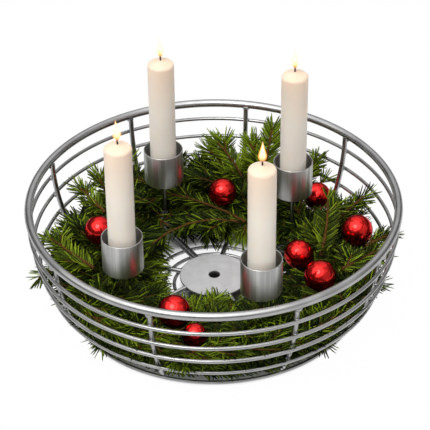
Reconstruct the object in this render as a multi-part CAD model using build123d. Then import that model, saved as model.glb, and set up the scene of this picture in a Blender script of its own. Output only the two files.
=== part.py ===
from build123d import *
from math import asin, atan2, ceil, cos, degrees, hypot, radians, sin, sqrt, tan
import os

# Advent candle holder: a round wire basket with a plate, four candle cups on bent stems,
# four candles, red glass baubles and a wreath of fir sprigs laid in the basket.
# Millimetres, +Z up, origin on the basket's axis at the table, azimuths in degrees from +X.

# Basket wire
top_ring_radius = 176.0
top_ring_wire = 8.0
rim_height = 105.5
rib_wire = 5.0
ring_wire = 3.6
weld_gap = 0.1
rib_azimuths = (39.8, 78.6, 119.0, 156.5, 213.5, 250.7, 295.0, 331.0)

# Rib profile, from the rim down: wall arc, corner arc, then a floor that rises to the plate
rib_rim_radius = 173.0
rib_end_below_rim = 2.2
wall_arc_radius = 185.0
wall_turn = 30.0
floor_rise = 5.2
rib_inner_radius = 18.0

# Rings outside the ribs and under the floor
side_ring_count = 4
side_ring_pitch = 19.2
foot_ring_turn = 57.0
base_ring_radii = (39.6, 49.0, 63.0)

# Centre plate
plate_radius = 34.0
plate_thickness = 2.0
plate_hole_radius = 5.5
plate_edge_round = 0.4

# Candle cups on bent stems that lie on their ribs
cup_ribs = (0, 2, 4, 6)
cup_circle_radius = 102.4
cup_rim_height = 106.4
cup_height = 36.0
cup_radius = 19.5
cup_wall = 1.0
cup_floor = 1.2
cup_rim_round = 0.3
stem_wire = 4.0
stem_bend_radius = 9.0
stem_fit = 0.1
spike_length = 16.0
spike_straight_share = 0.25
spike_tip_radius = 0.5

# Candles and wicks
candle_radius = 12.9
candle_length = 137.0
candle_crown_rise = 3.2
candle_edge_round = 2.6
candle_seat_gap = 0.2
spike_hole_gap = 0.3
wick_radius = 0.8
wick_fit = 0.1
wick_stand = 10.0

# Glass baubles, hung cap downwards into the fir
bauble_large_radius = 15.4
bauble_medium_radius = 14.2
bauble_small_radius = 11.3
bauble_wall = 0.8
bauble_neck_radius = 3.0
bauble_neck_length = 2.4
cap_skirt = 3.6
cap_wall = 0.4
cap_fit = 0.1
loop_radius = 1.9
loop_wire = 0.9

# Each bauble: azimuth, share of the top ring's radius, share of the rim's height, glass radius
bauble_shares = (
    (171.2, 0.645, 0.569, bauble_medium_radius),
    (84.6, 0.545, 0.470, bauble_medium_radius),
    (41.9, 0.803, 0.417, bauble_medium_radius),
    (8.5, 0.807, 0.512, bauble_large_radius),
    (355.5, 0.468, 0.436, bauble_medium_radius),
    (335.0, 0.630, 0.474, bauble_large_radius),
    (247.8, 0.569, 0.436, bauble_large_radius),
    (261.3, 0.694, 0.379, bauble_small_radius),
)

# Fir sprigs: a twig with side shoots and needles, its butt on the outermost base ring
twig_butt_radius = 2.0
twig_tip_radius = 0.9
twig_sides = 6
twig_fork_share = 0.42
twig_fork_sag = 5.0
needle_length = 17.0
needle_width = 2.2
needle_thickness = 0.9
needle_tip_share = 0.4
needle_lean = 55.0
needle_pitch = 6.0
needle_rolls = ((0.0, 180.0), (48.0, 132.0))
needle_check_shares = (0.5, 1.0)
sprig_rest_gap = 0.3
sprig_clearance = 1.2
sprig_inner_radius = 60.0

# Each sprig: first and last azimuth of its sector, azimuth of its butt, shoot tips as
# azimuth with shares of the top ring's radius and the rim's height, and baubles it carries
sprig_shares = (
    (24.0, 55.6, 47.5, ((50.0, 0.840, 0.500), (31.0, 0.800, 0.480)), (2,)),
    (56.0, 102.6, 69.5, ((66.0, 0.865, 0.760), (93.0, 0.830, 0.680)), (1,)),
    (103.0, 134.6, 111.0, ((110.0, 0.850, 0.530), (128.0, 0.820, 0.500)), ()),
    (135.0, 165.8, 147.0, ((146.0, 0.865, 0.760), (160.0, 0.820, 0.600)), ()),
    (166.2, 197.3, 184.0, ((190.0, 0.850, 0.600), (178.5, 0.850, 0.480)), (0,)),
    (197.7, 229.3, 205.5, ((203.0, 0.840, 0.520), (222.5, 0.820, 0.480)), ()),
    (229.7, 278.8, 262.5, ((272.0, 0.850, 0.560), (237.0, 0.820, 0.520)), (6, 7)),
    (279.2, 310.8, 287.0, ((285.0, 0.840, 0.500), (304.0, 0.830, 0.500)), ()),
    (311.2, 347.2, 321.0, ((317.0, 0.855, 0.600), (344.0, 0.845, 0.360)), (5,)),
    (347.6, 383.6, 366.0, ((377.5, 0.845, 0.700), (351.0, 0.840, 0.520)), (3, 4)),
)

# Sizes that follow from the ones above
rib_half = rib_wire / 2
ring_half = ring_wire / 2
stem_half = stem_wire / 2
ring_offset = rib_half + ring_half + weld_gap
stem_offset = rib_half + stem_half + weld_gap
wall_center_radius = rib_rim_radius - wall_arc_radius
wall_end_height = rim_height - wall_arc_radius * sin(radians(wall_turn))
wall_end_radius = wall_center_radius + wall_arc_radius * cos(radians(wall_turn))
corner_radius = (wall_end_height - rib_half) / (1 - sin(radians(wall_turn)))
corner_center_radius = wall_end_radius - corner_radius * cos(radians(wall_turn))
corner_center_height = rib_half + corner_radius
floor_start_radius = corner_center_radius - corner_radius * sin(radians(floor_rise))
floor_start_height = corner_center_height - corner_radius * cos(radians(floor_rise))
cup_bottom = cup_rim_height - cup_height
cup_floor_top = cup_bottom + cup_floor
candle_bottom = cup_floor_top + candle_seat_gap
candle_top = candle_bottom + candle_length


def floor_height(radius):
    """Height of a spoke's centre line: a straight rise from the corner arc to the plate."""
    return floor_start_height + (floor_start_radius - radius) * tan(radians(floor_rise))


plate_bottom = floor_height(rib_inner_radius) + rib_half + weld_gap


def polar(azimuth, radius, height):
    """Point at an azimuth, radius and height."""
    angle = radians(azimuth)
    return Vector(radius * cos(angle), radius * sin(angle), height)


def wall_radius(height):
    """Radius of a rib's centre line on the wall or corner arc at a height."""
    if height > wall_end_height:
        return wall_center_radius + sqrt(wall_arc_radius**2 - (rim_height - height) ** 2)
    rise = min(max(corner_center_height - height, 0), corner_radius)
    return corner_center_radius + sqrt(corner_radius**2 - rise**2)


def wire_sweep(path, radius):
    """Round wire of a radius along a path."""
    section = Plane(origin=path @ 0, z_dir=path % 0) * Circle(radius)
    return sweep(section, path=path)


def wire_ring(radius, height, wire):
    """Closed wire ring round the axis."""
    return Pos(0, 0, height) * Torus(radius, wire / 2)


def top_ring():
    """Thick ring that makes the rim."""
    return wire_ring(top_ring_radius, rim_height, top_ring_wire)


def side_ring(number):
    """Ring welded outside the ribs, one pitch below the last."""
    height = rim_height - number * side_ring_pitch
    turn = asin((rim_height - height) / (wall_arc_radius + ring_offset))
    radius = wall_center_radius + (wall_arc_radius + ring_offset) * cos(turn)
    return wire_ring(radius, height, ring_wire)


def foot_ring():
    """Lowest outer ring, on the corner of the ribs."""
    reach = corner_radius + ring_offset
    radius = corner_center_radius + reach * cos(radians(foot_ring_turn))
    height = corner_center_height - reach * sin(radians(foot_ring_turn))
    return wire_ring(radius, height, ring_wire)


def base_ring_height(radius):
    """Height of a ring welded under the spokes."""
    return floor_height(radius) - ring_offset / cos(radians(floor_rise))


def base_ring(radius):
    """Ring welded under the spokes of the ribs."""
    return wire_ring(radius, base_ring_height(radius), ring_wire)


def rib(azimuth):
    """One rib: down the wall, round the corner and along the floor, coped to the top ring."""
    with BuildLine(Plane.XZ) as profile:
        wall = JernArc((rib_rim_radius, rim_height), (0, -1), wall_arc_radius, -wall_turn)
        corner = JernArc(wall @ 1, wall % 1, corner_radius, wall_turn - 90 - floor_rise)
        Line(corner @ 1, (rib_inner_radius, floor_height(rib_inner_radius)))
    wire = wire_sweep(profile.line, rib_half)
    lid = Pos(rib_rim_radius, 0, rim_height) * Box(top_ring_wire, top_ring_wire, 2 * rib_end_below_rim)
    cope = Pos(0, 0, rim_height) * Torus(top_ring_radius, top_ring_wire / 2 + weld_gap)
    return Rot(0, 0, azimuth) * (wire - lid - cope)


def centre_plate():
    """Flat round plate on the spokes, with a hole in its middle."""
    disc = Cylinder(plate_radius, plate_thickness) - Cylinder(plate_hole_radius, plate_thickness)
    rim = disc.edges().filter_by(GeomType.CIRCLE).sort_by(SortBy.RADIUS)[-2:]
    disc = fillet(rim, plate_edge_round)
    return Pos(0, 0, plate_bottom + plate_thickness / 2) * disc


def spike_profile(base, gap):
    """Half section of the spike in the cup, from a base height, grown by a gap."""
    straight = cup_floor_top + spike_straight_share * spike_length
    tip = cup_floor_top + spike_length + gap
    outline = Polyline(
        (0, base),
        (stem_half + gap, base),
        (stem_half + gap, straight),
        (spike_tip_radius + gap, tip),
        (0, tip),
        close=True,
    )
    return Plane.XZ * make_face(outline)


def stem(azimuth):
    """Bent wire: a foot lying on its rib, a bend, an upright and a pointed spike in the cup."""
    foot_end = plate_radius + weld_gap
    lift = stem_offset / cos(radians(floor_rise))
    with BuildLine(Plane.XZ) as route:
        FilletPolyline(
            (foot_end, floor_height(foot_end) + lift),
            (cup_circle_radius, floor_height(cup_circle_radius) + lift),
            (cup_circle_radius, cup_bottom),
            radius=stem_bend_radius,
        )
    wire = wire_sweep(route.line, stem_half)
    spike = Pos(cup_circle_radius, 0, 0) * revolve(spike_profile(cup_bottom, 0), Axis.Z)
    return Rot(0, 0, azimuth) * (wire + spike)


def cup(azimuth):
    """Open steel cup with a thin wall, a rounded rim and a hole in its floor for the stem."""
    shell = Cylinder(cup_radius, cup_height, align=(Align.CENTER, Align.CENTER, Align.MIN))
    bore_depth = cup_height - cup_floor
    bore = Cylinder(cup_radius - cup_wall, bore_depth, align=(Align.CENTER, Align.CENTER, Align.MIN))
    hole = Cylinder(stem_half + stem_fit, cup_height)
    shell = shell - Pos(0, 0, cup_floor) * bore - hole
    rim = shell.edges().group_by(Axis.Z)[-1]
    shell = fillet(rim, cup_rim_round)
    return Pos(polar(azimuth, cup_circle_radius, cup_bottom)) * shell


def candle(azimuth):
    """Straight candle with a low crown and rounded edge, a spike hole below and a bore for its wick."""
    edge_height = candle_top - candle_crown_rise
    outline = Polyline(
        (0, candle_top),
        (0, candle_bottom),
        (candle_radius, candle_bottom),
        (candle_radius, edge_height),
        close=True,
    )
    body = revolve(Plane.XZ * make_face(outline), Axis.Z)
    edge = body.edges().filter_by(GeomType.CIRCLE).sort_by(Axis.Z)[-1]
    body = fillet(edge, candle_edge_round)
    bore_bottom = cup_floor_top + spike_length
    bore_length = candle_top - bore_bottom
    bore = Cylinder(wick_radius + wick_fit, bore_length, align=(Align.CENTER, Align.CENTER, Align.MIN))
    spike_hole = revolve(spike_profile(cup_floor_top, spike_hole_gap), Axis.Z)
    body = body - spike_hole - Pos(0, 0, bore_bottom) * bore
    return Pos(polar(azimuth, cup_circle_radius, 0)) * body


def wick(azimuth):
    """Wick from the spike hole up through the candle, standing clear of the wax."""
    bottom = cup_floor_top + spike_length + 2 * spike_hole_gap
    length = candle_top + wick_stand - bottom
    cord = Cylinder(wick_radius, length, align=(Align.CENTER, Align.CENTER, Align.MIN))
    return Pos(polar(azimuth, cup_circle_radius, bottom)) * cord


def bauble_center(place):
    """Centre of a bauble from its azimuth and shares."""
    azimuth, radius_share, height_share, _ = place
    return polar(azimuth, radius_share * top_ring_radius, height_share * rim_height)


def neck_end(glass_radius):
    """Distance from a bauble's centre down to the end of its neck."""
    return sqrt(glass_radius**2 - bauble_neck_radius**2) + bauble_neck_length


def cap_end(glass_radius):
    """Distance from a bauble's centre down to the lowest point of its cap's loop."""
    return neck_end(glass_radius) + cap_fit + cap_wall + 2 * loop_radius


def bauble(place):
    """Hollow blown-glass ball with an open neck at the bottom."""
    glass_radius = place[3]
    ball = Sphere(glass_radius)
    neck_length = neck_end(glass_radius)
    down = (Align.CENTER, Align.CENTER, Align.MAX)
    neck = Cylinder(bauble_neck_radius, neck_length, align=down)
    neck_bore = Cylinder(bauble_neck_radius - bauble_wall, neck_length, align=down)
    glass = ball + neck - Sphere(glass_radius - bauble_wall) - neck_bore
    return Pos(bauble_center(place)) * glass


def bauble_cap(place):
    """Metal cap over the neck, with a wire loop."""
    glass_radius = place[3]
    end = neck_end(glass_radius) + cap_fit
    inner = bauble_neck_radius + cap_fit
    seat = sqrt((glass_radius + cap_fit) ** 2 - (inner + cap_wall) ** 2)
    skirt = min(cap_skirt, end - seat)
    up = (Align.CENTER, Align.CENTER, Align.MIN)
    shell = Cylinder(inner + cap_wall, skirt + cap_wall, align=up)
    shell = shell - Pos(0, 0, cap_wall) * Cylinder(inner, skirt, align=up)
    shell = shell - Pos(0, 0, end + cap_wall) * Sphere(glass_radius + cap_fit)
    loop_middle = loop_radius - loop_wire / 2
    loop = Pos(0, 0, -loop_middle) * Rot(90, 0, 0) * Torus(loop_middle, loop_wire / 2)
    hanger = shell + loop
    return Pos(bauble_center(place) - Vector(0, 0, end + cap_wall)) * hanger


def is_clear(point, first, last):
    """Whether a needle may reach a point: inside its sector and basket, off wires, cups and baubles."""
    radius = hypot(point.X, point.Y)
    azimuth = degrees(atan2(point.Y, point.X))
    azimuth = azimuth + 360 * ceil((first - azimuth) / 360)
    side_room = radius * sin(radians(min(azimuth - first, last - azimuth)))
    floor_top = floor_height(radius) + rib_half + stem_wire + sprig_clearance
    wall_room = wall_radius(point.Z) - rib_half - sprig_clearance - radius
    if side_room < sprig_clearance or wall_room < 0 or radius < sprig_inner_radius or point.Z < floor_top:
        return False
    for number in cup_ribs:
        axis = polar(rib_azimuths[number], cup_circle_radius, point.Z)
        reach = cup_radius if point.Z > cup_bottom - 2 * sprig_clearance else stem_half
        if (point - axis).length < reach + 2 * sprig_clearance:
            return False
    for place in bauble_shares:
        center = bauble_center(place)
        rest = min(point.Z, center.Z)
        if (point - Vector(center.X, center.Y, point.Z)).length < place[3] + sprig_clearance:
            if rest > center.Z - cap_end(place[3]) - sprig_clearance:
                return False
    return True


def facet_loft(points, radii):
    """Tapered many-sided rod through points."""
    steps = [points[1] - points[0]] + [after - before for before, after in zip(points, points[2:])]
    steps = steps + [points[-1] - points[-2]]
    sections = [
        Plane(origin=point, z_dir=step) * RegularPolygon(radius, twig_sides)
        for point, step, radius in zip(points, steps, radii)
    ]
    return loft(sections, ruled=True)


def needle_section(share, height):
    """Flat diamond across a needle, a share of its full width, at a height."""
    width = share * needle_width / 2
    thickness = share * needle_thickness / 2
    corners = ((width, 0), (0, thickness), (-width, 0), (0, -thickness))
    return Pos(0, 0, height) * make_face(Polyline(*corners, close=True))


def needle_shape():
    """One straight flat needle along +Z, tapering to a blunt tip."""
    sections = [needle_section(1, 0), needle_section(needle_tip_share, needle_length)]
    return loft(sections, ruled=True)


def shoot_needles(start, end, first, last, needle):
    """Needles in pairs along a shoot, leaning forward, where there is room for them."""
    along = (end - start).normalized()
    side = along.cross(Vector(0, 0, 1)).normalized()
    above = side.cross(along)
    count = int((end - start).length / needle_pitch)
    placed = []
    for index in range(1, count + 1):
        root = start + along * (index * needle_pitch)
        for roll in needle_rolls[index % len(needle_rolls)]:
            spread = side * cos(radians(roll)) + above * sin(radians(roll))
            lean = along * cos(radians(needle_lean)) + spread * sin(radians(needle_lean))
            reach = [root + lean * (share * needle_length) for share in needle_check_shares]
            if all(is_clear(point, first, last) for point in reach):
                flat = along - lean * along.dot(lean)
                placed.append(Plane(origin=root, x_dir=flat, z_dir=lean).location * needle)
    return placed


def fir_sprig(place):
    """Forked twig with needles. It rests on the outermost base ring and carries its baubles."""
    first, last, butt_azimuth, tips, carried = place
    rest_radius = base_ring_radii[-1]
    rest_height = base_ring_height(rest_radius) + ring_half + sprig_rest_gap + twig_butt_radius
    butt = polar(butt_azimuth, rest_radius - ring_wire, rest_height)
    rest = polar(butt_azimuth, rest_radius + ring_wire, rest_height)
    ends = [polar(tip[0], tip[1] * top_ring_radius, tip[2] * rim_height) for tip in tips]
    fork = rest + (ends[0] - rest) * twig_fork_share - Vector(0, 0, twig_fork_sag)
    thin = (twig_butt_radius + twig_tip_radius) / 2
    main_radii = [twig_butt_radius, twig_butt_radius, thin, twig_tip_radius]
    shapes = [facet_loft([butt, rest, fork, ends[0]], main_radii)]
    seats = []
    for number in carried:
        center = bauble_center(bauble_shares[number])
        drop = cap_end(bauble_shares[number][3]) + sprig_rest_gap + twig_tip_radius
        seats.append(center - Vector(0, 0, drop))
    for end in ends[1:] + seats:
        shapes.append(facet_loft([fork, end], [thin, twig_tip_radius]))
    needle = needle_shape()
    for start, end in [(rest, fork)] + [(fork, end) for end in ends + seats]:
        shapes = shapes + shoot_needles(start, end, first, last, needle)
    return shapes[0].fuse(*shapes[1:])


def all_nodes():
    """Every piece of the holder by its name."""
    nodes = {"top_ring": top_ring(), "foot_ring": foot_ring(), "centre_plate": centre_plate()}
    for number in range(1, side_ring_count + 1):
        nodes[f"side_ring_{number}"] = side_ring(number)
    for number, radius in enumerate(base_ring_radii, 1):
        nodes[f"base_ring_{number}"] = base_ring(radius)
    for number, azimuth in enumerate(rib_azimuths, 1):
        nodes[f"rib_{number}"] = rib(azimuth)
    for number, index in enumerate(cup_ribs, 1):
        azimuth = rib_azimuths[index]
        nodes[f"stem_{number}"] = stem(azimuth)
        nodes[f"cup_{number}"] = cup(azimuth)
        nodes[f"candle_{number}"] = candle(azimuth)
        nodes[f"wick_{number}"] = wick(azimuth)
    for number, place in enumerate(bauble_shares, 1):
        nodes[f"bauble_{number}"] = bauble(place)
        nodes[f"bauble_cap_{number}"] = bauble_cap(place)
    for number, place in enumerate(sprig_shares, 1):
        nodes[f"fir_sprig_{number}"] = fir_sprig(place)
    return nodes


os.makedirs("parts", exist_ok=True)
for name, shape in all_nodes().items():
    export_step(shape, f"parts/{name}.step")
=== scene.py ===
from math import atan2, cos, pi, radians, sin

import bpy
import numpy as np
from bpy.props import FloatProperty, FloatVectorProperty, IntProperty, PointerProperty
from bpy.types import Operator, Panel, PropertyGroup
from mathutils import Matrix, Vector


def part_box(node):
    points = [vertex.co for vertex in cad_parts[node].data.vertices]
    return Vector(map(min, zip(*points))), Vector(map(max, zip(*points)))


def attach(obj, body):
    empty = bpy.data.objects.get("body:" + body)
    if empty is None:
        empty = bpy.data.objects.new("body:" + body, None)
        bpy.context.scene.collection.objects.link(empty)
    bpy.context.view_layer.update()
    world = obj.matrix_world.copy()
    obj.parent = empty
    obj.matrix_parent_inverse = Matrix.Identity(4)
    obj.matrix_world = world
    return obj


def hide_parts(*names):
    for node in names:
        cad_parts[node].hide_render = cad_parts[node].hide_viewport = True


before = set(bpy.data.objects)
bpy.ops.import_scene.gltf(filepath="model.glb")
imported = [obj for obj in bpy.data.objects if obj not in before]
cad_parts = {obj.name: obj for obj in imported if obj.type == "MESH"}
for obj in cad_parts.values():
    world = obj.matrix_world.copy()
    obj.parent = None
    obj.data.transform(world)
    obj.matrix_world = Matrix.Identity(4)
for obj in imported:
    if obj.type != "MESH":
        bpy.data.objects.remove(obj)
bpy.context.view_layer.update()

bl_info = {
    "name": "Advent Candle Holder",
    "version": (1, 0, 0),
    "blender": (4, 5, 0),
    "location": "View3D > Sidebar > Advent",
    "description": "Dresses a wire advent basket with fir, candles and glass baubles",
    "category": "Add Mesh",
}

# Names of the basket's pieces and of the body that carries them
HOLDER = "holder"
CANDLES = range(1, 5)
BAUBLES = range(1, 9)
SPRIGS = range(1, 11)
SIDE_RING_NODES = [f"side_ring_{n}" for n in range(1, 5)]
RING_NODES = ["top_ring", "foot_ring"] + SIDE_RING_NODES
BASE_RING_NODES = [f"base_ring_{n}" for n in range(1, 4)]
RIB_NODES = [f"rib_{n}" for n in range(1, 9)]
STEM_NODES = [f"stem_{n}" for n in range(1, 5)]

# Boxes of the solids, in metres
BOXES = {node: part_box(node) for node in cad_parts}


def middle_of(node):
    """Middle of a solid's box."""
    return tuple((first + last) / 2 for first, last in zip(*BOXES[node]))


def half_width(node):
    """Half a solid's width, which is a round one's radius."""
    low, high = BOXES[node]
    return (high.x - low.x) / 2


def half_height(node):
    """Half a solid's height, which is the radius of a ring's wire."""
    low, high = BOXES[node]
    return (high.z - low.z) / 2


def ring_radius(node):
    """Radius of a ring's middle line."""
    return half_width(node) - half_height(node)


def inner_radius(node):
    """Radius of a ring's inside."""
    return half_width(node) - 2 * half_height(node)


def ball_of(number):
    """Middle and radius of a bauble's ball, which has its neck below it."""
    node = f"bauble_{number}"
    radius = half_width(node)
    x, y, _ = middle_of(node)
    return (x, y, BOXES[node][1].z - radius), radius


# Sizes read from the rim, in metres
RIM_HEIGHT = middle_of("top_ring")[2]
RIM_RADIUS = ring_radius("top_ring")

# Direction upwards, and a tiny step sideways, which gives a side to a shoot that stands upright
UPRIGHT = (0.0, 0.0, 1.0)
UPRIGHT_SIDE = (1e-9, 0.0, 0.0)

# Facets round the turned pieces
RING_FACETS = 288
WIRE_FACETS = 26
BEAD_FACETS = 14
CUP_FACETS = 96
CANDLE_FACETS = 72
WICK_FACETS = 12
FLAME_FACETS = 32
TWIG_FACETS = 6

# Points along the sections of the turned pieces
BEAD_ROWS = 9
CORNER_ROWS = 5
ROUND_ROWS = 7
SIDE_ROWS = 12
CROWN_ROWS = 10
WICK_ROWS = 16
FLAME_ROWS = 28

# Weld beads: the rim's beads against the others, and height against width
RIM_BEAD_SHARE = 1.45
BEAD_HEIGHT_SHARE = 0.9

# Cups: radius of the stem's hole and thickness of the floor, as shares of the wall's thickness
CUP_HOLE_SHARE = 2.1
CUP_FLOOR_SHARE = 1.2

# Candles, in metres: the spike's hole, the edges, the crown, and the axis' gap to the section's ends
SPIKE_HOLE_RADIUS = 0.0023
SPIKE_HOLE_DEPTH = 0.0163
SPIKE_HOLE_STRAIGHT = 0.004
CANDLE_FOOT_EDGE = 0.001
CANDLE_EDGE = 0.0032
CANDLE_CROWN = 0.0030
CANDLE_AXIS_GAP = 0.0003

# End of the candles' round edge in degrees, and power of the crown's rise
CANDLE_EDGE_ANGLE = 80
CROWN_POWER = 1.5

# Wicks, in metres: how deep in the wax the close rows start, the bend's reach and the glowing end
WICK_SINK = 0.002
WICK_REACH = 0.0016
WICK_EMBER = 0.0055

# Blunt end of a wick: where it starts along the free length, and its thickness
WICK_END_SHARE = 0.93
WICK_END_THICK_SHARE = 0.6

# Turn of the lean from one wick and flame to the next, in degrees
LEAN_TURN = 70.0

# Flames, in metres: the tip's sway, and the lift that a layer of no width would have
FLAME_SWAY = 0.0010
FLAME_LIFT = 0.0012

# Flames: widths of the layers from veil to core, height of a layer of no width, place of the widest
# part, least width, and power of the fall to the tip
FLAME_LAYER_SHARES = (1.0, 0.90, 0.80, 0.70, 0.58, 0.46)
FLAME_CORE_SHARE = 0.70
FLAME_BELLY_SHARE = 0.30
FLAME_TIP_SHARE = 0.03
FLAME_TIP_POWER = 1.05

# Light of the flames: strength and opacity of a layer, and colours of veil and core at foot and body
FLAME_STRENGTH = 4.0
FLAME_ALPHA = 0.07
FLAME_FOOT_COLOURS = ((1.0, 0.20, 0.01), (1.0, 0.70, 0.25))
FLAME_BODY_COLOURS = ((1.0, 0.42, 0.04), (1.0, 0.94, 0.78))

# Baubles: radius of the neck in metres, and where the ball's section ends at the top, in degrees
BAUBLE_NECK = 0.0030
BAUBLE_TOP_ANGLE = 89.6

# Clouds and grain of the finishes, in waves per metre
WIRE_CLOUDS = 38.0
PLATE_CLOUDS = 90.0
PLATE_GRAIN = 900.0
WAX_CLOUDS = 70.0
WAX_DIMPLES = 260.0
WICK_FIBRES = 1500.0
GLASS_CLOUDS = 60.0
GLASS_WAVES = 180.0
CAP_CLOUDS = 300.0
BARK_CLOUDS = 500.0

# Depths of the grain, and of light in the wax, in metres
STREAK_DEPTH = 0.0002
PLATE_GRAIN_DEPTH = 0.0001
BRUSH_DEPTH = 0.0001
WAX_DIMPLE_DEPTH = 0.0003
WICK_FIBRE_DEPTH = 0.0003
GLASS_WAVE_DEPTH = 0.0004
BARK_DEPTH = 0.0005
WAX_LIGHT_DEPTH = 0.006

# Streaks of the wire, brushing of the cups and clouds of the wax: the pattern's scale along each axis
RING_STREAKS = (60.0, 9.0, 1.0)
RIB_STREAKS = (400.0, 400.0, 120.0)
CUP_BANDS = (26.0, 0.6, 1.0)
CUP_BRUSHING = (420.0, 2.0, 1.0)
WAX_STRETCH = (1.0, 1.0, 0.35)

# Sockets of a Mix node that take and give colours
MIX_COLOUR_INPUTS = (6, 7)
MIX_COLOUR_OUTPUT = 2

# Plain colours
BLACK = (0.0, 0.0, 0.0)
WHITE = (1.0, 1.0, 1.0)
CHAR = (0.020, 0.013, 0.010)
EMBER_RED = (0.55, 0.12, 0.01)
EMBER_ORANGE = (1.0, 0.55, 0.10)

# Tints of a needle's root and tip, and its middle green as a share of the way from dark to bright
NEEDLE_ROOT_TINT = (1.25, 1.0, 0.7)
NEEDLE_TIP_TINT = (1.25, 1.2, 1.0)
NEEDLE_GREEN_SHARE = 0.25

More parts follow.
